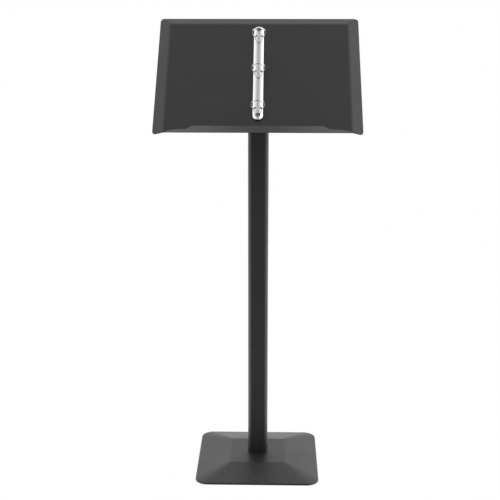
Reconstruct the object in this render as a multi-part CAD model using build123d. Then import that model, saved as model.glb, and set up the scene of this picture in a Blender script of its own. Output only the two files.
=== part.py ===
from build123d import *
import os
from math import asin, atan2, cos, degrees, radians, sin, sqrt, tan

# Music stand: weighted pyramid base, square post, tilted sheet-steel tray and a three-ring binder mechanism.
# Millimetres, +Z up, origin on the floor under the centre of the base, reader on the -Y side.

# Base
base_width = 304.0
base_corner_radius = 31.0
base_wall = 1.6
rim_height = 4.0
rim_bend = 3.0
rim_floor_gap = 2.0
plateau_width = 138.0
plateau_corner_radius = 6.0
plateau_bend = 2.5
plateau_height = 24.0
weight_floor_gap = 3.0
weight_side_gap = 1.0
foot_diameter = 20.0
foot_inset = 42.0
foot_stem_diameter = 8.0
foot_stem_length = 6.0

# Bolts through the base into the foot plate of the post
bolt_diameter = 8.0
bolt_spacing = 22.0
bolt_head_width = 13.0
bolt_head_height = 5.3
bolt_washer_diameter = 16.0
bolt_washer_thickness = 1.6
bolt_recess_depth = 8.5
bolt_end_cover = 1.0

# Post
post_width = 49.5
post_corner_radius = 10.0
post_wall = 2.0
post_setback = 14.0
foot_plate_thickness = 10.0

# Tray: sizes are taken on the front face of its sheet, and the height is that of the middle ring
tray_tilt = 45.0
tray_reach = 25.0
tray_height = 988.0
panel_width = 428.0
panel_height = 324.5
sheet = 1.5
flange_width = 27.8
flange_angle = 21.0
flange_bend = 15.0
flange_corner_radius = 10.0
flange_foot_radius = 9.0
lip_depth = 24.4
lip_bend = 2.0
lip_end_depth = 3.2
lip_bow_run = 25.0
lip_shoulder_depth = 12.0
lip_shoulder_run = 47.0
lip_full_run = 75.0
lip_relief = 1.0

# Head plate on the mitred end of the post, with the studs that carry the tray
head_plate_width = 112.0
head_plate_length = 128.0
head_plate_thickness = 4.0
head_plate_corner_radius = 10.0
stud_diameter = 6.0
stud_inset = 14.0
stud_spare = 2.0
stud_chamfer = 0.6
nut_width = 10.0
nut_height = 5.0
stud_washer_diameter = 12.0
stud_washer_thickness = 1.6

# Ring mechanism
ring_pitch = 107.95
cover_end_run = 32.05
cover_top_margin = 11.5
cover_width = 24.0
cover_rise = 7.4
cover_sheet = 0.8
rim_radius = 1.65
rim_lip = 0.5
rim_lift = 1.1
seat_radius = 4.4
mouth_radius = 6.2
rivet_diameter = 4.0
rivet_head_diameter = 7.4
rivet_head_height = 1.6
rivet_tail_diameter = 6.4
rivet_tail_height = 1.2
dimple_radius = 1.4
dimple_depth = 0.4
ring_diameter = 35.4
ring_wire = 2.9
ring_top = 35.4
ring_hook_radius = 4.5
ring_foot_bend = 2.2
ring_lap = 1.6
slot_inner_gap = 1.8
slot_side_gap = 1.4
leaf_sheet = 0.9
leaf_rest_angle = 9.0
finger_width = 12.0
finger_reach = 1.6
tenon_diameter = 1.8
tenon_head_diameter = 2.8
tenon_head_height = 0.5

# Clearances
fit_gap = 0.05
hole_gap = 0.3
running_gap = 0.35
seat_gap = 1.5
overcut = 3.0

# Heights and places that follow from the sizes above
rim_top = rim_floor_gap + rim_height
base_slope = atan2(plateau_height - rim_top, (base_width - plateau_width) / 2)
weight_top = plateau_height - base_wall
bolt_recess_top = weight_floor_gap + bolt_recess_depth
bolt_clear_radius = bolt_diameter / 2 + hole_gap
foot_offset = base_width / 2 - foot_inset

tilt = radians(tray_tilt)
tray_y = post_setback - tray_reach
tray_plane = Plane(origin=(0, tray_y, tray_height), x_dir=(1, 0, 0), z_dir=(0, -cos(tilt), sin(tilt)))
cover_length = 2 * (ring_pitch + cover_end_run)
panel_above = cover_length / 2 + cover_top_margin
panel_below = panel_height - panel_above
panel_back = -sheet
head_back = panel_back - head_plate_thickness
head_middle = (tray_reach + head_back * cos(tilt)) / sin(tilt)
stud_across = head_plate_width / 2 - stud_inset
stud_along = head_plate_length / 2 - stud_inset

fold = radians(flange_angle)
fold_setback = (flange_bend + sheet) * tan(fold / 2)
lip_half_width = panel_width / 2 - fold_setback - lip_relief

hinge_u = cover_width / 2 - rim_radius
hinge_n = rim_lift + rim_radius
arch_rise = cover_rise - hinge_n
arch_radius = (hinge_u**2 + arch_rise**2 - rim_radius**2) / (2 * (arch_rise - rim_radius))
arch_centre_n = cover_rise - arch_radius
rim_start = degrees(atan2(hinge_n - arch_centre_n, hinge_u))
rivet_at = (cover_length - cover_width) / 2
ring_places = {"top": ring_pitch, "middle": 0.0, "bottom": -ring_pitch}
ring_radius = (ring_diameter - ring_wire) / 2
ring_centre_n = ring_top - ring_diameter / 2
arch_above_hinge = arch_centre_n + sqrt(arch_radius**2 - hinge_u**2)
ring_low_n = arch_above_hinge + ring_wire / 2 + running_gap
hook_n = ring_low_n + ring_hook_radius
hook_start = asin((ring_centre_n - hook_n) / (ring_radius - ring_hook_radius))
hook_u = (ring_radius - ring_hook_radius) * cos(hook_start)
leaf_rest = radians(leaf_rest_angle)
foot_u = hook_u - ring_foot_bend * cos(leaf_rest)
foot_n = ring_low_n - ring_foot_bend - ring_foot_bend * sin(leaf_rest)
foot_above_leaf = (hinge_u - foot_u) * sin(leaf_rest) + (foot_n - hinge_n) * cos(leaf_rest) - leaf_sheet / 2
foot_seat = (hinge_u - foot_u) * cos(leaf_rest) - (foot_n - hinge_n) * sin(leaf_rest)
leaf_reach = hinge_u - leaf_sheet / 2 - running_gap / 2
leaf_half_length = rivet_at - mouth_radius - cover_sheet - seat_gap
finger_at = ring_pitch / 2


def on_tray(shape):
    """Moves a shape from the tray's own axes (across, up the slope, towards the reader) to the stand."""
    return tray_plane.location * shape


def disc(diameter, low, high):
    """Upright round bar between two heights."""
    return Pos(0, 0, low) * extrude(Circle(diameter / 2), high - low)


def hexagon(width, low, high):
    """Upright six-sided bar of a given width across its flats, with its corners turned down at both ends."""
    bar = Pos(0, 0, low) * extrude(RegularPolygon(width / 2, 6, major_radius=False), high - low)
    across_corners = width / cos(radians(30))
    turned = disc(across_corners, low, high)
    return bar & chamfer(turned.edges().filter_by(GeomType.CIRCLE), (across_corners - width) / 2)


def ring_washer(outer, bore, low, high):
    """Flat washer between two heights."""
    return disc(outer, low, high) - disc(bore, low, high)


def rounded_bar(width, corner, low, high):
    """Upright square bar with round corners."""
    return Pos(0, 0, low) * extrude(RectangleRounded(width, width, corner), high - low)


# Base


def pyramid(depth, low, high):
    """Base outline with every outer face moved inwards by a depth, cut off at two heights."""
    rim_width = base_width - 2 * depth
    rim_corner = base_corner_radius - depth
    rim_level = rim_top - depth * tan(radians(45) - base_slope / 2)
    top_width = rim_width - 2 * (high - rim_level) / tan(base_slope)
    rim = rounded_bar(rim_width, rim_corner, low, rim_level)
    rim_outline = Pos(0, 0, rim_level) * RectangleRounded(rim_width, rim_width, rim_corner)
    top_outline = Pos(0, 0, high) * RectangleRounded(top_width, top_width, plateau_corner_radius)
    return rim + loft([rim_outline, top_outline], ruled=True)


def bent_pyramid(depth, low, high):
    """Base outline moved inwards by a depth, with the bends of the sheet above its rim and round its top."""
    block = pyramid(depth, low, high)
    block = fillet(block.faces().sort_by(Axis.Z)[-1].edges(), plateau_bend - depth)
    rim_edges = block.edges().filter_by_position(Axis.Z, low, rim_top, inclusive=(False, True))
    bend_edges = rim_edges.filter_by(lambda edge: edge.bounding_box().size.Z < fit_gap)
    return fillet(bend_edges, rim_bend - depth)


def bolt_places():
    return Pos(0, post_setback, 0) * GridLocations(bolt_spacing, bolt_spacing, 2, 2)


def base_cover():
    shell = bent_pyramid(0, rim_floor_gap, plateau_height)
    shell -= bent_pyramid(base_wall, rim_floor_gap, weight_top)
    shell -= [place * disc(2 * bolt_clear_radius, 0, plateau_height) for place in bolt_places()]
    return shell


def base_weight():
    block = pyramid(base_wall + weight_side_gap, weight_floor_gap, weight_top)
    recess = disc(bolt_washer_diameter + 2 * hole_gap, 0, bolt_recess_top)
    block -= [place * recess for place in bolt_places()]
    block -= [place * disc(2 * bolt_clear_radius, 0, weight_top) for place in bolt_places()]
    socket_top = weight_floor_gap + foot_stem_length + hole_gap
    socket = disc(foot_stem_diameter + 2 * fit_gap, 0, socket_top)
    block -= [place * socket for place in GridLocations(2 * foot_offset, 2 * foot_offset, 2, 2)]
    return block


def base_foot(side, end):
    pad = disc(foot_diameter, 0, weight_floor_gap)
    stem = disc(foot_stem_diameter, weight_floor_gap, weight_floor_gap + foot_stem_length)
    return Pos(side * foot_offset, end * foot_offset, 0) * (pad + stem)


def base_bolts():
    head_top = bolt_recess_top - bolt_washer_thickness
    head = hexagon(bolt_head_width, head_top - bolt_head_height, head_top)
    shank = disc(bolt_diameter, head_top, plateau_height + foot_plate_thickness - bolt_end_cover)
    return [place * (head + shank) for place in bolt_places()]


def base_washers():
    washer = ring_washer(
        bolt_washer_diameter, 2 * bolt_clear_radius, bolt_recess_top - bolt_washer_thickness, bolt_recess_top
    )
    return [place * washer for place in bolt_places()]


# Post


def post_tube():
    outer = rounded_bar(post_width, post_corner_radius, plateau_height, tray_height + panel_above)
    inner = rounded_bar(
        post_width - 2 * post_wall, post_corner_radius - post_wall, plateau_height, tray_height + panel_above
    )
    tube = Pos(0, post_setback, 0) * (outer - inner)
    return split(tube, bisect_by=tray_plane.offset(head_back), keep=Keep.BOTTOM)


def post_foot_plate():
    gap = post_wall + fit_gap
    plate = Pos(0, post_setback, 0) * rounded_bar(
        post_width - 2 * gap, post_corner_radius - gap, plateau_height, plateau_height + foot_plate_thickness
    )
    thread = disc(bolt_diameter + 2 * fit_gap, plateau_height, plateau_height + foot_plate_thickness)
    return plate - [place * thread for place in bolt_places()]


def stud_places():
    return Pos(0, head_middle, 0) * GridLocations(2 * stud_across, 2 * stud_along, 2, 2)


def post_head_plate():
    outline = RectangleRounded(head_plate_width, head_plate_length, head_plate_corner_radius)
    plate = Pos(0, head_middle, head_back) * extrude(outline, head_plate_thickness)
    hole = disc(stud_diameter + 2 * hole_gap, head_back, panel_back)
    return on_tray(plate - [place * hole for place in stud_places()])


# Tray


def panel_outline(growth, level, corner):
    """Fold lines of the flanges moved outwards by a growth, carried on below the lip."""
    run_out = 2 * flange_width
    width = panel_width + 2 * growth
    length = panel_above + panel_below + run_out + 2 * growth
    middle = (panel_above - panel_below - run_out) / 2
    return Pos(0, middle, level) * RectangleRounded(width, length, corner)


def soften_front(block, radius):
    """Rounds the fold lines round the front face."""
    return fillet(block.faces().sort_by(Axis.Z)[-1].edges(), radius)


def folded_sheet():
    """Flat panel with flanges that slope back all round, edges cut square to the sheet."""
    fold_corner = fold_setback + sheet
    out = flange_width * cos(fold)
    back = -flange_width * sin(fold)
    edge_out = out - sheet * sin(fold)
    edge_back = back - sheet * cos(fold)
    edge_corner = flange_corner_radius - sheet * sin(fold)
    inner_fold = sheet * tan(fold / 2)
    fold_line = panel_outline(0, 0, fold_corner)
    outer_edge = panel_outline(out, back, flange_corner_radius)
    inner_edge = panel_outline(edge_out, edge_back, edge_corner)
    inner_fold_line = panel_outline(-inner_fold, panel_back, fold_corner - inner_fold)
    front = soften_front(loft([fold_line, outer_edge], ruled=True), flange_bend + sheet)
    rim = loft([outer_edge, inner_edge], ruled=True)
    hollow = soften_front(loft([inner_fold_line, inner_edge], ruled=True), flange_bend)
    return front + rim - hollow


def lip_outline():
    """Front view of the lip: low at the ends, bowed up to a shoulder, then swept up to full depth."""
    half = panel_width / 2
    end = (lip_half_width, lip_end_depth)
    shoulder = (half - lip_shoulder_run, lip_shoulder_depth)
    full = (half - lip_full_run, lip_depth)
    sweep_u = half - (lip_full_run + lip_shoulder_run) / 2
    bow = Bezier(end, (half - lip_bow_run, lip_shoulder_depth), shoulder)
    sweep_up = Bezier(shoulder, (sweep_u, lip_shoulder_depth), (sweep_u, lip_depth), full)
    back = panel_back - overcut
    side = Polyline((0, back), (lip_half_width, back), end)
    half_face = make_face([side, bow, sweep_up, Polyline(full, (0, lip_depth), (0, back))])
    return half_face + mirror(half_face, Plane.YZ)


def lip():
    """Strip along the bottom of the panel, folded forwards and cut to the outline of its free edge."""
    inner_v = sheet - panel_below
    bend_v = inner_v + lip_bend
    outer_v = -panel_below
    bend_centre = (bend_v, lip_bend)
    section = make_face(
        [
            CenterArc(bend_centre, lip_bend, 180, 90),
            Polyline((inner_v, lip_bend), (inner_v, lip_depth), (outer_v, lip_depth), (outer_v, lip_bend)),
            CenterArc(bend_centre, lip_bend + sheet, 180, 90),
            Line((bend_v, -sheet), (bend_v, 0)),
        ]
    )
    strip = extrude(Plane.YZ * section, lip_half_width, both=True)
    blank = extrude(Plane.XZ * lip_outline(), 2 * panel_below, both=True)
    return strip & blank


def tray_panel():
    pan = folded_sheet()
    below = Box(2 * panel_width, panel_below, panel_below, align=(Align.CENTER, Align.MAX, Align.CENTER))
    pan -= Pos(0, -panel_below, 0) * below
    foot_edges = pan.edges().filter_by_position(Axis.Y, -panel_below, -panel_below)
    pan = fillet(foot_edges.filter_by(lambda edge: edge.length < 2 * sheet), flange_foot_radius)
    cut_width = 2 * (lip_half_width + lip_relief)
    lip_cut = Box(cut_width, sheet + lip_bend, 2 * (sheet + overcut), align=(Align.CENTER, Align.MIN))
    pan -= Pos(0, -panel_below, 0) * lip_cut
    rivet_hole = disc(rivet_diameter + 2 * fit_gap, panel_back, 0)
    pan -= [Pos(0, place, 0) * rivet_hole for place in (rivet_at, -rivet_at)]
    return on_tray(pan + lip())


def tray_studs():
    length = head_plate_thickness + stud_washer_thickness + nut_height + stud_spare
    stud = disc(stud_diameter, panel_back - length, panel_back)
    stud = chamfer(stud.faces().sort_by(Axis.Z)[0].edges(), stud_chamfer)
    return [on_tray(place * stud) for place in stud_places()]


def tray_washers():
    bore = stud_diameter + 2 * hole_gap
    washer = ring_washer(stud_washer_diameter, bore, head_back - stud_washer_thickness, head_back)
    return [on_tray(place * washer) for place in stud_places()]


def tray_nuts():
    top = head_back - stud_washer_thickness
    nut = hexagon(nut_width, top - nut_height, top) - disc(stud_diameter + 2 * fit_gap, top - nut_height, top)
    return [on_tray(place * nut) for place in stud_places()]


# Ring mechanism, on axes across the tray, up the slope and towards the reader


def half_turn(shape):
    """The same piece turned to the other side of the mechanism."""
    return Rot(0, 0, 180) * shape


def cover_half_section():
    """Right half of the cover's section: arch, curled rim and the lip that the leaf sits on."""
    sweep_down = rim_start + 90
    rim_centre = (hinge_u, hinge_n)
    arch_centre = (0, arch_centre_n)
    lip_low = hinge_n - rim_radius
    lip_high = lip_low + cover_sheet
    lip_end = hinge_u - rim_lip
    return make_face(
        [
            CenterArc(arch_centre, arch_radius, rim_start, 90 - rim_start),
            CenterArc(rim_centre, rim_radius, -90, sweep_down),
            Polyline((hinge_u, lip_low), (lip_end, lip_low), (lip_end, lip_high), (hinge_u, lip_high)),
            CenterArc(rim_centre, rim_radius - cover_sheet, -90, sweep_down),
            CenterArc(arch_centre, arch_radius - cover_sheet, rim_start, 90 - rim_start),
            Line((0, cover_rise - cover_sheet), (0, cover_rise)),
        ]
    )


def cover_half_profile():
    """Right half of the space under the cover's arch, out to its surface."""
    return make_face(
        [
            CenterArc((0, arch_centre_n), arch_radius, rim_start, 90 - rim_start),
            CenterArc((hinge_u, hinge_n), rim_radius, 0, rim_start),
            Polyline((cover_width / 2, hinge_n), (cover_width / 2, 0), (0, 0), (0, cover_rise)),
        ]
    )


def domed_bar(half_section):
    """Straight bar of a half section and its mirror image, closed at each end by half a turn of it."""
    straight = extrude(Plane.XZ * (half_section + mirror(half_section, Plane.YZ)), rivet_at, both=True)
    dome = Pos(0, rivet_at, 0) * revolve(Plane.XZ * half_section, Axis.Z, 180)
    return straight + dome + half_turn(dome)


def ring_path():
    """Centre line of a right ring half: over the ring, hooked in above the rim, down to its leaf."""
    lap_angle = degrees(asin((ring_lap + ring_wire) / ring_radius))
    hook_angle = degrees(hook_start)
    seat = (foot_u + foot_above_leaf * sin(leaf_rest), foot_n - foot_above_leaf * cos(leaf_rest))
    edges = [
        CenterArc((0, ring_centre_n), ring_radius, 90 + lap_angle, -90 - lap_angle - hook_angle),
        CenterArc((hook_u, hook_n), ring_hook_radius, -hook_angle, hook_angle - 90),
        CenterArc((hook_u, ring_low_n - ring_foot_bend), ring_foot_bend, 90, 90 + leaf_rest_angle),
        Line((foot_u, foot_n), seat),
    ]
    return Plane.XZ * Wire(edges)


def ring_cover():
    arch = domed_bar(cover_half_section())
    under_arch = domed_bar(cover_half_profile())
    wall_slope = (mouth_radius - seat_radius) / (cover_rise - cover_sheet)
    cup_top = 2 * cover_rise
    widening = wall_slope * cup_top
    outer_radius = seat_radius + cover_sheet
    on_base = (Align.CENTER, Align.CENTER, Align.MIN)
    cup_outer = Cone(outer_radius, outer_radius + widening, cup_top, align=on_base)
    cup_inner = Pos(0, 0, cover_sheet) * Cone(seat_radius, seat_radius + widening, cup_top, align=on_base)
    rivet_hole = disc(rivet_diameter + 2 * fit_gap, 0, cover_sheet)
    for place in (rivet_at, -rivet_at):
        spot = Pos(0, place, 0)
        arch -= spot * cup_outer
        arch += (spot * (cup_outer - cup_inner - rivet_hole)) & under_arch
    slot_width = ring_wire + 2 * slot_side_gap
    slot_inner = foot_u - ring_wire / 2 - slot_inner_gap
    slot_outer = hinge_u + running_gap
    slot = extrude(SlotOverall(slot_outer - slot_inner, slot_width), cover_rise)
    dimple = Pos(0, 0, cover_rise + dimple_radius - dimple_depth) * Sphere(dimple_radius)
    for place in ring_places.values():
        middle = (slot_inner + slot_outer) / 2
        arch -= [Pos(side * middle, place, hinge_n) * slot for side in (1, -1)]
        arch -= Pos(0, place, 0) * dimple
    return on_tray(arch)


def right_leaf():
    """Flat leaf with a round hinge edge, one finger and one notch, turned down to its shut position."""
    plate = Pos(-leaf_reach / 2, 0, 0) * Rectangle(leaf_reach, 2 * leaf_half_length)
    tip = leaf_reach + finger_reach
    plate += Pos(-tip / 2, finger_at, 0) * Rectangle(tip, finger_width)
    notch_depth = finger_reach + leaf_sheet
    notch = Rectangle(2 * notch_depth, finger_width + 2 * running_gap)
    plate -= Pos(-leaf_reach, -finger_at, 0) * notch
    hole = Circle(tenon_diameter / 2 + fit_gap)
    plate -= [Pos(-foot_seat, place, 0) * hole for place in ring_places.values()]
    leaf = extrude(plate, leaf_sheet / 2, both=True)
    leaf += Rot(90, 0, 0) * Cylinder(leaf_sheet / 2, 2 * leaf_half_length)
    return Pos(hinge_u, 0, hinge_n) * Rot(0, -leaf_rest_angle, 0) * leaf


def right_ring():
    """Ring half with a lapped tip and a foot staked through the leaf."""
    path = ring_path()
    ring = sweep(Plane(origin=path @ 0, z_dir=path % 0) * Circle(ring_wire / 2), path=path)
    tip = Pos(0, 0, ring_centre_n + ring_radius)
    lap_cut = Box(ring_diameter, ring_wire, 2 * ring_wire, align=(Align.MAX, Align.MAX, Align.CENTER))
    end_cut = Box(ring_diameter, 2 * ring_wire, 2 * ring_wire, align=(Align.MAX, Align.CENTER, Align.CENTER))
    ring -= tip * Pos(ring_lap + running_gap, running_gap / 2, 0) * lap_cut
    ring -= tip * Pos(-ring_lap, 0, 0) * end_cut
    foot = Plane(origin=path @ 1, z_dir=path % 1)
    ring += extrude(foot * Circle(tenon_diameter / 2), leaf_sheet)
    ring += extrude(foot.offset(leaf_sheet) * Circle(tenon_head_diameter / 2), tenon_head_height)
    return ring


def ring_rivet(place):
    """Domed rivet from the seat in the cover through the panel."""
    seat_n = cover_sheet
    head_radius = rivet_head_diameter / 2
    dome_radius = (head_radius**2 + rivet_head_height**2) / (2 * rivet_head_height)
    dome = Pos(0, 0, seat_n + rivet_head_height - dome_radius) * Sphere(dome_radius)
    head = disc(rivet_head_diameter, seat_n, seat_n + rivet_head_height) & dome
    shank = disc(rivet_diameter, panel_back, seat_n)
    tail = disc(rivet_tail_diameter, panel_back - rivet_tail_height, panel_back)
    return on_tray(Pos(0, place, 0) * (head + shank + tail))


def stand():
    """Every piece of the stand by name."""
    pieces = {
        "base_cover": base_cover(),
        "base_weight": base_weight(),
        "base_bolts": base_bolts(),
        "base_washers": base_washers(),
        "post_foot_plate": post_foot_plate(),
        "post_tube": post_tube(),
        "post_head_plate": post_head_plate(),
        "tray_panel": tray_panel(),
        "tray_studs": tray_studs(),
        "tray_washers": tray_washers(),
        "tray_nuts": tray_nuts(),
        "ring_cover": ring_cover(),
        "ring_leaf_right": on_tray(right_leaf()),
        "ring_leaf_left": on_tray(half_turn(right_leaf())),
        "ring_rivet_top": ring_rivet(rivet_at),
        "ring_rivet_bottom": ring_rivet(-rivet_at),
    }
    for end, end_name in ((-1, "front"), (1, "rear")):
        for side, side_name in ((-1, "left"), (1, "right")):
            pieces[f"foot_{end_name}_{side_name}"] = base_foot(side, end)
    for name, place in ring_places.items():
        pieces[f"ring_{name}_right"] = on_tray(Pos(0, place, 0) * right_ring())
        pieces[f"ring_{name}_left"] = on_tray(Pos(0, place, 0) * half_turn(right_ring()))
    return pieces


os.makedirs("parts", exist_ok=True)
for node, shape in stand().items():
    solids = shape if isinstance(shape, list) else [shape]
    export_step(Compound(children=solids) if len(solids) > 1 else solids[0], f"parts/{node}.step")
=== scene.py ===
from math import pi, radians, sin, tan

import bmesh
import bpy
from bpy.props import FloatProperty, FloatVectorProperty, PointerProperty
from mathutils import Matrix, Vector


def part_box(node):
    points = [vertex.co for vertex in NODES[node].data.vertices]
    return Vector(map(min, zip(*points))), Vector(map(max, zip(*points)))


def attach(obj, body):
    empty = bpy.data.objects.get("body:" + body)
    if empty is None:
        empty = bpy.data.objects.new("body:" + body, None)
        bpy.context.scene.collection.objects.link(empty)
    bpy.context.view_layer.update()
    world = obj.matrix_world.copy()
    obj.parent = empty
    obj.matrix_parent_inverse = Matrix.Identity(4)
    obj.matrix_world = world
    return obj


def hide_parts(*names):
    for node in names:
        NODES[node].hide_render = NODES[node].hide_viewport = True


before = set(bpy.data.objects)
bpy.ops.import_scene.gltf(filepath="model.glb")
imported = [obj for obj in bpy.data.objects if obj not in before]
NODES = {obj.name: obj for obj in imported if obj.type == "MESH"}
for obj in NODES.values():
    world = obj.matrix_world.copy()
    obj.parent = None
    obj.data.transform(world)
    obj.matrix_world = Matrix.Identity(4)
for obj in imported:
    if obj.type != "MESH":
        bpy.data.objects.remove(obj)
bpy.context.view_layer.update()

MM = 0.001
WHITE = (1, 1, 1, 1)
CREASE = radians(35)  # faces that meet at a larger angle keep a crisp edge
MERGE = 0.01 * MM  # points closer than this are one point

bl_info = {
    "name": "Music stand with ring binder tray",
    "version": (1, 0, 0),
    "blender": (4, 5, 0),
    "location": "View3D > Sidebar > Music stand",
    "description": "Finishes, small parts and studio for a sheet-steel music stand",
    "category": "Object",
}


def linear(code):
    """sRGB hex colour as the linear values that the shaders work in."""
    values = [int(code[i : i + 2], 16) / 255 for i in (1, 3, 5)]
    return tuple(v / 12.92 if v <= 0.04045 else ((v + 0.055) / 1.055) ** 2.4 for v in values)


def colour(name, description, code):
    return FloatVectorProperty(
        name=name, description=description, subtype="COLOR", size=3, min=0, max=1, default=linear(code)
    )


def length(name, description, millimetres):
    return FloatProperty(name=name, description=description, unit="LENGTH", min=0, default=millimetres * MM)


def angle(name, description, degrees):
    return FloatProperty(name=name, description=description, subtype="ANGLE", default=radians(degrees))


def share(name, description, value):
    return FloatProperty(name=name, description=description, subtype="FACTOR", min=0, max=1, default=value)


def brightness(name, description, value):
    return FloatProperty(name=name, description=description, min=0, default=value)


def direction(name, description, value):
    return FloatProperty(name=name, description=description, min=-1, max=1, default=value)


class StandFinish(bpy.types.PropertyGroup):
    """Colours and textures of the stand's finishes."""

    powder_colour: colour("Powder coat", "Colour of the powder coat", "#131314")
    powder_roughness: share("Powder roughness", "How matt the powder coat is", 0.42)
    powder_drift: share("Powder drift", "How far its roughness strays where the film is thick or thin", 0.03)
    powder_speckle: share("Powder speckle", "How far its tone strays from lump to lump", 0.25)
    peel_size: length("Orange peel", "Size of the lumps in the powder coat", 2.6)
    peel_depth: length("Peel depth", "Height of the lumps in the powder coat", 0.32)
    film_size: length("Powder film", "Distance over which the thickness of the film changes", 70)
    chrome_colour: colour("Chrome", "Colour of the bright plating", "#ced0d2")
    nickel_colour: colour("Nickel", "Colour where the bright plating is thin", "#cfcecb")
    chrome_roughness: share("Chrome roughness", "How dull the bright plating is", 0.12)
    haze_size: length("Polishing haze", "Size of the hazy patches in the bright plating", 9)
    haze_depth: length("Stamping waves", "Height of the waves under the bright plating", 0.1)
    zinc_colour: colour("Zinc plate", "Colour of the plated fasteners and leaves", "#b4b3ad")
    blue_colour: colour("Blue passivation", "Colour of the cool patches in the zinc plate", "#9ba1a9")
    cloud_size: length("Zinc clouds", "Size of the patches in the zinc plate", 7)
    grain_size: length("Zinc grain", "Size of the grain in the zinc plate", 0.7)
    grain_depth: length("Grain depth", "Height of the grain in the zinc plate", 0.05)
    black_colour: colour("Black oxide", "Colour of the blackened rivets", "#68696a")
    brown_colour: colour("Thin oxide", "Colour of the rivets where the oxide is thin", "#7e7c78")
    oxide_size: length("Oxide patches", "Size of the patches in the oxide", 1.5)
    oxide_depth: length("Oxide depth", "Height of the patches in the oxide", 0.05)
    rubber_colour: colour("Rubber", "Colour of the feet", "#191919")
    bloom_colour: colour("Rubber bloom", "Colour of the rubber's raised grain", "#2b2b2b")
    rubber_size: length("Rubber grain", "Size of the grain in the rubber", 0.8)
    rubber_depth: length("Rubber depth", "Height of the grain in the rubber", 0.1)
    iron_colour: colour("Ballast", "Colour of the painted casting", "#232324")
    sand_colour: colour("Casting grain", "Colour of the casting's high spots", "#343435")
    sand_size: length("Casting lumps", "Size of the lumps that the sand mould left", 2.2)
    sand_depth: length("Casting depth", "Height of the lumps that the sand mould left", 0.6)


class StandDetails(bpy.types.PropertyGroup):
    """Sizes of the small parts that the solids leave plain."""

    tray_tilt: angle("Tray tilt", "Angle of the tray from the floor", 45)
    post_corner: length("Post corner", "Outside radius of the post's corners", 10)
    bead_radius: length("Weld bead", "Radius of the weld bead round the top of the post", 2.6)
    bead_ripple: length("Weld ripple", "Distance from one ripple of the weld to the next", 2)
    ripple_depth: share("Ripple depth", "How much thinner the bead is between two ripples", 0.12)
    bead_drift: share("Weld drift", "How far the bead's size strays along the seam", 0.06)
    stud_diameter: length("Stud diameter", "Outside diameter of the studs' thread", 6)
    stud_length: length("Stud length", "Length of the studs behind the tray", 12.6)
    stud_drop: length("Stud drop", "From the middle of a washer to the middle of its stud", 1.5)
    studs_across: length("Studs across", "Distance between the studs across the tray", 84)
    studs_along: length("Studs along", "Distance between the studs up the tray", 100)
    thread_pitch: length("Thread pitch", "Rise of the studs' thread in one turn", 1)
    thread_depth: length("Thread depth", "Depth of the studs' thread", 0.6)


class StandStudio(bpy.types.PropertyGroup):
    """Floor, light and camera."""

    floor_radius: length("Floor radius", "Radius of the pale floor", 2600)
    floor_tone: share("Floor tone", "Share of the light that the floor throws back", 0.3)
    floor_glow: brightness("Floor glow", "Light that the floor gives off round the stand", 2.0)
    front_dark: direction("Dark front", "Y of the way out from the base below which the floor is dark", -0.98)
    front_lit: direction("Lit front", "Y of the way out from the base above which the floor is lit", -0.6)
    # Painted shadow of the base: the floor's glow is held at this level out to the first radius and rises to
    # full by the second
    painted_base_shadow: brightness("Floor under the base", "Light that reaches the floor under the base", 0.4)
    painted_shadow_start: length("Shade", "Radius of the floor that the base shades fully", 150)
    painted_shadow_end: length("Shade edge", "Radius where the base's shade ends", 220)
    sky_light: brightness("Overhead", "Light from above", 0.61)
    left_light: brightness("Left bank", "Light from the left", 1.2)
    right_light: brightness("Right bank", "Light from the right", 1.8)
    back_light: brightness("Back", "Light from behind the stand", 0.67)
    paper_white: brightness("Backdrop", "Light of the plain backdrop that the camera sees", 1.0)
    camera_place: FloatVectorProperty(
        name="Camera place",
        description="Where the camera stands",
        subtype="TRANSLATION",
        unit="LENGTH",
        default=(0.03901, -2.51162, 1.21043),
    )
    camera_dip: angle("Camera dip", "How far below level the camera looks", 14.585)
    camera_turn: angle("Camera turn", "How far to the left the camera looks", 1.345)
    camera_lens: FloatProperty(name="Lens", description="Focal length in millimetres", min=1, default=76.17)
    camera_sensor: FloatProperty(name="Sensor", description="Sensor width in millimetres", min=1, default=36)


def add_node(tree, kind, inputs=None, **settings):
    """Adds a node, sets its properties, and sets or links its input sockets."""
    node = tree.nodes.new(kind)
    for name, value in settings.items():
        setattr(node, name, value)
    for name, value in (inputs or {}).items():
        if isinstance(value, bpy.types.NodeSocket):
            tree.links.new(value, node.inputs[name])
        else:
            node.inputs[name].default_value = value
    return node


def empty_tree(owner):
    """The node tree of a new material or world, cleared of the nodes that it starts with."""
    owner.use_nodes = True
    owner.node_tree.nodes.clear()
    return owner.node_tree


def new_material(name):
    """Empty node material with its output and a shader, ready for the finish's own nodes."""
    material = bpy.data.materials.new(name)
    tree = empty_tree(material)
    shader = add_node(tree, "ShaderNodeBsdfPrincipled")
    add_node(tree, "ShaderNodeOutputMaterial", {"Surface": shader.outputs["BSDF"]})
    place = add_node(tree, "ShaderNodeTexCoord").outputs["Object"]
    return material, tree, shader, place


def per_metre(size):
    """Noise scale for lumps of a real size in metres."""
    return 1 / size


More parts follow.
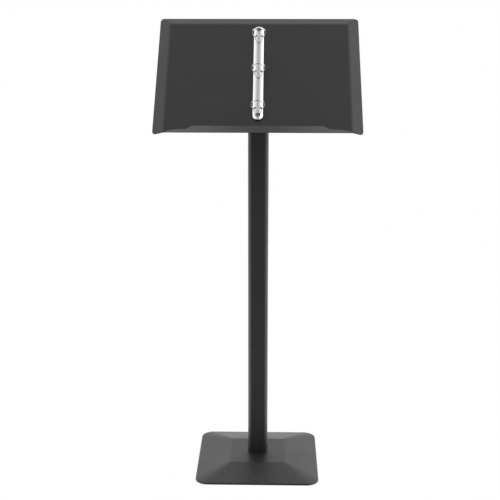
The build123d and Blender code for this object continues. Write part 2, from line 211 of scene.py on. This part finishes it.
def powder_coat(name):
    """Black polyester powder, sprayed and baked on sheet steel: a satin skin with a low orange peel that
    spreads each highlight, a few paler specks, and slow changes of gloss where the film is thicker.
    Real orange peel has lumps of about 1 mm. They are drawn coarser here so that they show."""
    finish = bpy.context.scene.stand_finish
    material, tree, shader, place = new_material(name)
    peel = add_node(
        tree,
        "ShaderNodeTexNoise",
        {"Vector": place, "Scale": per_metre(finish.peel_size), "Detail": 3.0, "Roughness": 0.55},
    )
    film = add_node(
        tree, "ShaderNodeTexNoise", {"Vector": place, "Scale": per_metre(finish.film_size), "Detail": 2.0}
    )
    tone = add_node(
        tree,
        "ShaderNodeMapRange",
        {
            "Value": peel.outputs["Fac"],
            "From Min": 0.35,
            "From Max": 0.65,
            "To Min": 1 - finish.powder_speckle,
            "To Max": 1 + finish.powder_speckle,
        },
    )
    paint = add_node(
        tree,
        "ShaderNodeMix",
        {"Factor": 1.0, "A": (*finish.powder_colour, 1), "B": tone.outputs["Result"]},
        data_type="RGBA",
        blend_type="MULTIPLY",
    )
    gloss = add_node(
        tree,
        "ShaderNodeMapRange",
        {
            "Value": film.outputs["Fac"],
            "From Min": 0.3,
            "From Max": 0.7,
            "To Min": finish.powder_roughness - finish.powder_drift,
            "To Max": finish.powder_roughness + finish.powder_drift,
        },
    )
    bump = add_node(
        tree,
        "ShaderNodeBump",
        {"Height": peel.outputs["Fac"], "Strength": 0.6, "Distance": finish.peel_depth},
    )
    tree.links.new(paint.outputs["Result"], shader.inputs["Base Color"])
    tree.links.new(gloss.outputs["Result"], shader.inputs["Roughness"])
    tree.links.new(bump.outputs["Normal"], shader.inputs["Normal"])
    return material


def bright_chrome(name):
    """Decorative chrome over bright nickel on stamped steel: a near mirror with faint polishing haze, a trace
    of the nickel's warmth where the chrome is thin, and the shallow waves that the stamping left."""
    finish = bpy.context.scene.stand_finish
    material, tree, shader, place = new_material(name)
    haze = add_node(
        tree, "ShaderNodeTexNoise", {"Vector": place, "Scale": per_metre(finish.haze_size), "Detail": 4.0}
    )
    tint = add_node(
        tree,
        "ShaderNodeMix",
        {"Factor": haze.outputs["Fac"], "A": (*finish.chrome_colour, 1), "B": (*finish.nickel_colour, 1)},
        data_type="RGBA",
    )
    gloss = add_node(
        tree,
        "ShaderNodeMapRange",
        {
            "Value": haze.outputs["Fac"],
            "From Min": 0.35,
            "From Max": 0.7,
            "To Min": finish.chrome_roughness * 0.85,
            "To Max": finish.chrome_roughness * 1.25,
        },
    )
    bump = add_node(
        tree,
        "ShaderNodeBump",
        {"Height": haze.outputs["Fac"], "Strength": 0.06, "Distance": finish.haze_depth},
    )
    tree.links.new(tint.outputs["Result"], shader.inputs["Base Color"])
    tree.links.new(gloss.outputs["Result"], shader.inputs["Roughness"])
    tree.links.new(bump.outputs["Normal"], shader.inputs["Normal"])
    shader.inputs["Metallic"].default_value = 1.0
    return material


def zinc_plate(name):
    """Zinc-plated steel, blue passivated: a dull silver with cloudy warm and cool patches and a fine grain.
    Real plating has a finer grain. It is drawn coarser here so that it shows."""
    finish = bpy.context.scene.stand_finish
    material, tree, shader, place = new_material(name)
    cloud = add_node(
        tree, "ShaderNodeTexNoise", {"Vector": place, "Scale": per_metre(finish.cloud_size), "Detail": 3.0}
    )
    grain = add_node(
        tree, "ShaderNodeTexNoise", {"Vector": place, "Scale": per_metre(finish.grain_size), "Detail": 2.0}
    )
    tint = add_node(
        tree,
        "ShaderNodeMix",
        {"Factor": cloud.outputs["Fac"], "A": (*finish.zinc_colour, 1), "B": (*finish.blue_colour, 1)},
        data_type="RGBA",
    )
    gloss = add_node(
        tree, "ShaderNodeMapRange", {"Value": cloud.outputs["Fac"], "To Min": 0.3, "To Max": 0.5}
    )
    bump = add_node(
        tree,
        "ShaderNodeBump",
        {"Height": grain.outputs["Fac"], "Strength": 0.2, "Distance": finish.grain_depth},
    )
    tree.links.new(tint.outputs["Result"], shader.inputs["Base Color"])
    tree.links.new(gloss.outputs["Result"], shader.inputs["Roughness"])
    tree.links.new(bump.outputs["Normal"], shader.inputs["Normal"])
    shader.inputs["Metallic"].default_value = 1.0
    return material


def black_oxide(name):
    """Steel blackened in a hot bath and oiled: the dark film still lets the metal reflect, with a soft sheen,
    and it is browner and duller where the oxide is thin."""
    finish = bpy.context.scene.stand_finish
    material, tree, shader, place = new_material(name)
    cloud = add_node(
        tree, "ShaderNodeTexNoise", {"Vector": place, "Scale": per_metre(finish.oxide_size), "Detail": 3.0}
    )
    tone = add_node(
        tree,
        "ShaderNodeMix",
        {"Factor": cloud.outputs["Fac"], "A": (*finish.black_colour, 1), "B": (*finish.brown_colour, 1)},
        data_type="RGBA",
    )
    gloss = add_node(
        tree, "ShaderNodeMapRange", {"Value": cloud.outputs["Fac"], "To Min": 0.3, "To Max": 0.48}
    )
    bump = add_node(
        tree,
        "ShaderNodeBump",
        {"Height": cloud.outputs["Fac"], "Strength": 0.2, "Distance": finish.oxide_depth},
    )
    tree.links.new(tone.outputs["Result"], shader.inputs["Base Color"])
    tree.links.new(gloss.outputs["Result"], shader.inputs["Roughness"])
    tree.links.new(bump.outputs["Normal"], shader.inputs["Normal"])
    shader.inputs["Metallic"].default_value = 1.0
    return material


def foot_rubber(name):
    """Moulded black rubber: matt and faintly grainy, greyer and duller where the grain stands up.
    A real mould leaves a finer grain. It is drawn coarser here so that it shows."""
    finish = bpy.context.scene.stand_finish
    material, tree, shader, place = new_material(name)
    grain = add_node(
        tree, "ShaderNodeTexNoise", {"Vector": place, "Scale": per_metre(finish.rubber_size), "Detail": 2.0}
    )
    tone = add_node(
        tree,
        "ShaderNodeMix",
        {"Factor": grain.outputs["Fac"], "A": (*finish.rubber_colour, 1), "B": (*finish.bloom_colour, 1)},
        data_type="RGBA",
    )
    gloss = add_node(
        tree, "ShaderNodeMapRange", {"Value": grain.outputs["Fac"], "To Min": 0.7, "To Max": 0.9}
    )
    bump = add_node(
        tree,
        "ShaderNodeBump",
        {"Height": grain.outputs["Fac"], "Strength": 0.3, "Distance": finish.rubber_depth},
    )
    tree.links.new(tone.outputs["Result"], shader.inputs["Base Color"])
    tree.links.new(gloss.outputs["Result"], shader.inputs["Roughness"])
    tree.links.new(bump.outputs["Normal"], shader.inputs["Normal"])
    return material


def painted_iron(name):
    """Sand-cast iron under a coat of black paint: coarse sand texture with dull gloss on its high spots."""
    finish = bpy.context.scene.stand_finish
    material, tree, shader, place = new_material(name)
    sand = add_node(
        tree, "ShaderNodeTexNoise", {"Vector": place, "Scale": per_metre(finish.sand_size), "Detail": 5.0}
    )
    tone = add_node(
        tree,
        "ShaderNodeMix",
        {"Factor": sand.outputs["Fac"], "A": (*finish.iron_colour, 1), "B": (*finish.sand_colour, 1)},
        data_type="RGBA",
    )
    gloss = add_node(
        tree, "ShaderNodeMapRange", {"Value": sand.outputs["Fac"], "To Min": 0.75, "To Max": 0.5}
    )
    bump = add_node(
        tree,
        "ShaderNodeBump",
        {"Height": sand.outputs["Fac"], "Strength": 0.6, "Distance": finish.sand_depth},
    )
    tree.links.new(tone.outputs["Result"], shader.inputs["Base Color"])
    tree.links.new(gloss.outputs["Result"], shader.inputs["Roughness"])
    tree.links.new(bump.outputs["Normal"], shader.inputs["Normal"])
    return material


# Slot in the record, then the real finish and the function that makes it
FINISHES = {
    "powder_coat": ("black_powder_coat", powder_coat),
    "chrome": ("bright_chrome_plate", bright_chrome),
    "plated_steel": ("passivated_zinc_plate", zinc_plate),
    "black_steel": ("black_oxide_steel", black_oxide),
    "ballast_iron": ("painted_cast_iron", painted_iron),
    "foot_rubber": ("moulded_rubber", foot_rubber),
}


def finish_of(slot):
    """The finish of a slot, made the first time it is asked for."""
    name, make = FINISHES[slot]
    return bpy.data.materials.get(name) or make(name)


def finish_nodes(*prefixes):
    """Gives every CAD node whose name starts with one of these words the finish of its slot in the record."""
    for name, node in sorted(NODES.items()):
        if name.startswith(prefixes):
            node.data.materials[0] = finish_of(node.data.materials[0].name)


def verts_of(parts):
    """The vertices among the parts that a bmesh operator works on."""
    return [part for part in parts if isinstance(part, bmesh.types.BMVert)]


def add_piece(name, shape, slot, *replaced):
    """Turns a finished bmesh into a smooth piece with crisp creases, on the stand and in a slot's finish."""
    for face in shape.faces:
        face.smooth = True
    for edge in shape.edges:
        edge.smooth = edge.calc_face_angle(0) < CREASE
    mesh = bpy.data.meshes.new(name)
    shape.to_mesh(mesh)
    shape.free()
    mesh.materials.append(finish_of(slot))
    piece = bpy.data.objects.new(name, mesh)
    bpy.context.collection.objects.link(piece)
    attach(piece, "stand")
    if replaced:
        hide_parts(*replaced)


class STAND_OT_base(bpy.types.Operator):
    """Finishes the base cover, its ballast, feet and bolts"""

    bl_idname = "stand.base"
    bl_label = "Base"

    def execute(self, context):
        finish_nodes("base_", "foot_")
        return {"FINISHED"}


class STAND_OT_post(bpy.types.Operator):
    """Finishes the post and its two plates"""

    bl_idname = "stand.post"
    bl_label = "Post"

    def execute(self, context):
        finish_nodes("post_")
        return {"FINISHED"}


class STAND_OT_weld(bpy.types.Operator):
    """Lays the weld bead round the mitred top of the post, against its head plate"""

    bl_idname = "stand.weld"
    bl_label = "Head weld"

    def execute(self, context):
        sizes = context.scene.stand_details
        bead_sides = 10
        ripple_rings = 4
        fast_drift, slow_drift = 0.23, 0.091  # radians from one ring to the next
        seam = 0.6 * MM  # the last ring is not rippled, and is nearer than this to the first
        low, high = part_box("post_tube")
        half = (high.x - low.x) / 2
        run = half - sizes.post_corner
        step = sizes.bead_ripple / ripple_rings
        run_steps = round(2 * run / step)
        corner_steps = round(pi / 2 * sizes.post_corner / step)

        # A ring swept along four straight sides and four corners
        bead = bmesh.new()
        upright = Matrix.Translation((half, -run, 0)) @ Matrix.Rotation(pi / 2, 4, "X")
        bmesh.ops.create_circle(bead, segments=bead_sides, radius=sizes.bead_radius, matrix=upright)
        ring = [*bead.verts, *bead.edges]
        rings = [ring]
        for side in range(4):
            turned = Matrix.Rotation(side * pi / 2, 3, "Z")
            straight = {"dvec": turned @ Vector((0, 2 * run / run_steps, 0)), "angle": 0}
            corner = {"cent": turned @ Vector((run, run, 0)), "angle": pi / 2 / corner_steps}
            for move in [straight] * run_steps + [corner] * corner_steps:
                ring = bmesh.ops.spin(bead, geom=ring, axis=(0, 0, 1), steps=1, **move)["geom_last"]
                rings.append(ring)

        # Round ripples, each a little larger or smaller than the last, as a welder's hand wanders
        for count, ring in enumerate(rings[:-1]):
            verts = verts_of(ring)
            middle = sum((vert.co for vert in verts), Vector()) / len(verts)
            ripple = sizes.ripple_depth * (1 - abs(sin(pi * count / ripple_rings)))
            drift = sizes.bead_drift * sin(count * fast_drift) * sin(count * slow_drift)
            size = 1 - ripple + drift
            bmesh.ops.scale(bead, vec=(size, size, size), space=Matrix.Translation(-middle), verts=verts)
        bmesh.ops.remove_doubles(bead, verts=verts_of(rings[0]) + verts_of(rings[-1]), dist=seam)

        # Sheared to the tilt of the plate
        slope = Matrix.Identity(4)
        slope[2][1] = tan(sizes.tray_tilt)
        top = high.z - half * tan(sizes.tray_tilt)
        seat = Matrix.Translation(((low.x + high.x) / 2, (low.y + high.y) / 2, top))
        bmesh.ops.transform(bead, matrix=seat @ slope, verts=bead.verts)
        bmesh.ops.recalc_face_normals(bead, faces=bead.faces)
        add_piece("head_weld", bead, "powder_coat")
        return {"FINISHED"}


class STAND_OT_tray(bpy.types.Operator):
    """Finishes the tray and the studs, washers and nuts behind it"""

    bl_idname = "stand.tray"
    bl_label = "Tray"

    def execute(self, context):
        finish_nodes("tray_")
        return {"FINISHED"}


class STAND_OT_studs(bpy.types.Operator):
    """Cuts the thread of the four weld studs behind the tray"""

    bl_idname = "stand.studs"
    bl_label = "Threaded studs"

    def execute(self, context):
        sizes = context.scene.stand_details
        pitch = sizes.thread_pitch
        crest = sizes.stud_diameter / 2
        root = crest - sizes.thread_depth
        rise = sizes.stud_length + pitch
        turn_steps = 24
        steps = round(rise / pitch * turn_steps)

        # One tooth of the thread, as radius and share of the pitch, wound up past both ends of the stud;
        # each turn joins the one below it
        stud = bmesh.new()
        tooth = ((root, 0), (root, 1 / 8), (crest, 7 / 16), (crest, 9 / 16), (root, 7 / 8), (root, 1))
        verts = [stud.verts.new((radius, 0, (part - 1) * pitch)) for radius, part in tooth]
        edges = [stud.edges.new(pair) for pair in zip(verts, verts[1:])]
        bmesh.ops.spin(
            stud,
            geom=verts + edges,
            axis=(0, 0, 1),
            dvec=(0, 0, rise / steps),
            angle=steps * 2 * pi / turn_steps,
            steps=steps,
        )
        bmesh.ops.remove_doubles(stud, verts=stud.verts, dist=MERGE)

        # Cut square at both ends, with a chamfer at the tip
        for height, outward in ((0, -1), (sizes.stud_length, 1)):
            bmesh.ops.bisect_plane(
                stud,
                geom=[*stud.verts, *stud.edges, *stud.faces],
                dist=MERGE / 10,
                plane_co=(0, 0, height),
                plane_no=(0, 0, outward),
                clear_outer=True,
            )
        bmesh.ops.holes_fill(stud, edges=[edge for edge in stud.edges if edge.is_boundary], sides=0)
        for vert in stud.verts:
            vert.co.xy *= min(1, (root + vert.co.z) / vert.co.xy.length)
        bmesh.ops.remove_doubles(stud, verts=stud.verts, dist=MERGE)
        bmesh.ops.recalc_face_normals(stud, faces=stud.faces)

        # Four of them, square to the tray, through their washers
        low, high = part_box("tray_washers")
        tray = Matrix.Translation((low + high) / 2) @ Matrix.Rotation(sizes.tray_tilt, 4, "X")
        bmesh.ops.translate(
            stud,
            vec=(-sizes.studs_across / 2, -sizes.studs_along / 2, -sizes.stud_drop - sizes.stud_length / 2),
            verts=stud.verts,
        )
        for vec in ((sizes.studs_across, 0, 0), (0, sizes.studs_along, 0)):
            copy = bmesh.ops.duplicate(stud, geom=[*stud.verts, *stud.edges, *stud.faces])["geom"]
            bmesh.ops.translate(stud, vec=vec, verts=verts_of(copy))
        bmesh.ops.transform(stud, matrix=tray, verts=stud.verts)
        add_piece("threaded_studs", stud, "powder_coat", "tray_studs")
        return {"FINISHED"}


class STAND_OT_rings(bpy.types.Operator):
    """Finishes the ring mechanism"""

    bl_idname = "stand.rings"
    bl_label = "Ring mechanism"

    def execute(self, context):
        finish_nodes("ring_")
        return {"FINISHED"}


def pale_floor(studio):
    """Matt floor that lights the stand from below. It is dark straight in front, its glow is dimmed under the
    base as a painted shadow of the base, and it is plain white to the camera and clear from below."""
    material = bpy.data.materials.new("pale_floor")
    tree = empty_tree(material)
    place = add_node(tree, "ShaderNodeTexCoord").outputs["Object"]
    bearing = add_node(tree, "ShaderNodeVectorMath", {0: place}, operation="NORMALIZE").outputs["Vector"]
    lit = add_node(
        tree,
        "ShaderNodeMapRange",
        {
            "Value": add_node(tree, "ShaderNodeSeparateXYZ", {"Vector": bearing}).outputs["Y"],
            "From Min": studio.front_dark,
            "From Max": studio.front_lit,
            "To Min": 0.0,
            "To Max": studio.floor_glow,
        },
        interpolation_type="SMOOTHSTEP",
    )
    # Painted shadow of the base: the glow is dimmed near the middle, under the base, and full beyond its edge
    reach = add_node(tree, "ShaderNodeVectorMath", {0: place}, operation="LENGTH").outputs["Value"]
    outside_painted_shadow = add_node(
        tree,
        "ShaderNodeMapRange",
        {"Value": reach, "From Min": studio.painted_shadow_start, "From Max": studio.painted_shadow_end},
    )
    glow = add_node(
        tree,
        "ShaderNodeMix",
        {"Factor": outside_painted_shadow.outputs["Result"], "A": studio.painted_base_shadow, "B": lit.outputs["Result"]},
    )
    shader = add_node(
        tree,
        "ShaderNodeBsdfPrincipled",
        {
            "Base Color": (studio.floor_tone, studio.floor_tone, studio.floor_tone, 1),
            "Roughness": 0.9,
            "Specular IOR Level": 0.0,
            "Emission Color": WHITE,
            "Emission Strength": glow.outputs["Result"],
        },
    )
    paper = add_node(tree, "ShaderNodeEmission", {"Strength": studio.paper_white})
    seen = add_node(tree, "ShaderNodeLightPath").outputs["Is Camera Ray"]
    top = add_node(
        tree, "ShaderNodeMixShader", {0: seen, 1: shader.outputs["BSDF"], 2: paper.outputs["Emission"]}
    )
    clear = add_node(tree, "ShaderNodeBsdfTransparent")
    under = add_node(tree, "ShaderNodeNewGeometry").outputs["Backfacing"]
    mixed = add_node(
        tree, "ShaderNodeMixShader", {0: under, 1: top.outputs["Shader"], 2: clear.outputs["BSDF"]}
    )
    add_node(tree, "ShaderNodeOutputMaterial", {"Surface": mixed.outputs["Shader"]})
    return material


def light_room(studio):
    """World with soft banks of light above, to both sides and behind, and a plain white backdrop."""
    world = bpy.data.worlds.new("studio")
    tree = empty_tree(world)
    way = add_node(tree, "ShaderNodeTexCoord").outputs["Generated"]
    axes = add_node(tree, "ShaderNodeSeparateXYZ", {"Vector": way}).outputs
    # Axis of the room, how far along it a bank's light starts and is full, and how bright it is
    banks = (
        ("Z", 0.0, 0.6, studio.sky_light),
        ("X", 0.0, -0.9, studio.left_light),
        ("X", 0.0, 0.9, studio.right_light),
        ("Y", 0.1, 0.9, studio.back_light),
    )
    total = 0.0
    for axis, start, full, light in banks:
        bank = add_node(
            tree,
            "ShaderNodeMapRange",
            {"Value": axes[axis], "From Min": start, "From Max": full, "To Min": 0.0, "To Max": light},
            interpolation_type="SMOOTHSTEP",
        )
        total = add_node(tree, "ShaderNodeMath", {0: total, 1: bank.outputs["Result"]}).outputs["Value"]
    room = add_node(tree, "ShaderNodeBackground", {"Color": WHITE, "Strength": total})
    paper = add_node(tree, "ShaderNodeBackground", {"Color": WHITE, "Strength": studio.paper_white})
    seen = add_node(tree, "ShaderNodeLightPath").outputs["Is Camera Ray"]
    mixed = add_node(
        tree, "ShaderNodeMixShader", {0: seen, 1: room.outputs["Background"], 2: paper.outputs["Background"]}
    )
    add_node(tree, "ShaderNodeOutputWorld", {"Surface": mixed.outputs["Shader"]})
    return world


class STAND_OT_studio(bpy.types.Operator):
    """Makes the floor, the light and the camera"""

    bl_idname = "stand.studio"
    bl_label = "Studio"

    def execute(self, context):
        studio = context.scene.stand_studio
        mesh = bpy.data.meshes.new("floor")
        disc = bmesh.new()
        bmesh.ops.create_circle(disc, cap_ends=True, segments=96, radius=studio.floor_radius)
        disc.to_mesh(mesh)
        disc.free()
        mesh.materials.append(pale_floor(studio))
        floor = bpy.data.objects.new("floor", mesh)
        context.collection.objects.link(floor)

        context.scene.world = light_room(studio)

        data = bpy.data.cameras.new("camera")
        data.sensor_width = studio.camera_sensor
        data.lens = studio.camera_lens
        camera = bpy.data.objects.new("camera", data)
        camera.location = studio.camera_place
        camera.rotation_euler = (pi / 2 - studio.camera_dip, 0, studio.camera_turn)
        context.collection.objects.link(camera)
        context.scene.camera = camera
        context.scene.view_settings.view_transform = "Standard"
        return {"FINISHED"}


OPERATORS = (
    STAND_OT_base,
    STAND_OT_post,
    STAND_OT_weld,
    STAND_OT_tray,
    STAND_OT_studs,
    STAND_OT_rings,
    STAND_OT_studio,
)


class STAND_PT_panel(bpy.types.Panel):
    """Lists the stand's settings and the steps that dress it"""

    bl_idname = "STAND_PT_panel"
    bl_label = "Music stand"
    bl_space_type = "VIEW_3D"
    bl_region_type = "UI"
    bl_category = "Music stand"

    def draw(self, context):
        scene = context.scene
        for group in (scene.stand_finish, scene.stand_details, scene.stand_studio):
            for name in group.bl_rna.properties.keys():
                if name not in {"rna_type", "name"}:
                    self.layout.prop(group, name)
        for operator in OPERATORS:
            self.layout.operator(operator.bl_idname)


CLASSES = (StandFinish, StandDetails, StandStudio, *OPERATORS, STAND_PT_panel)


def register():
    for entry in CLASSES:
        bpy.utils.register_class(entry)
    bpy.types.Scene.stand_finish = PointerProperty(type=StandFinish)
    bpy.types.Scene.stand_details = PointerProperty(type=StandDetails)
    bpy.types.Scene.stand_studio = PointerProperty(type=StandStudio)


def unregister():
    del bpy.types.Scene.stand_studio
    del bpy.types.Scene.stand_details
    del bpy.types.Scene.stand_finish
    for entry in reversed(CLASSES):
        bpy.utils.unregister_class(entry)


def main():
    register()
    bpy.ops.stand.base()
    bpy.ops.stand.post()
    bpy.ops.stand.weld()
    bpy.ops.stand.tray()
    bpy.ops.stand.studs()
    bpy.ops.stand.rings()
    bpy.ops.stand.studio()


if __name__ == "__main__":
    main()
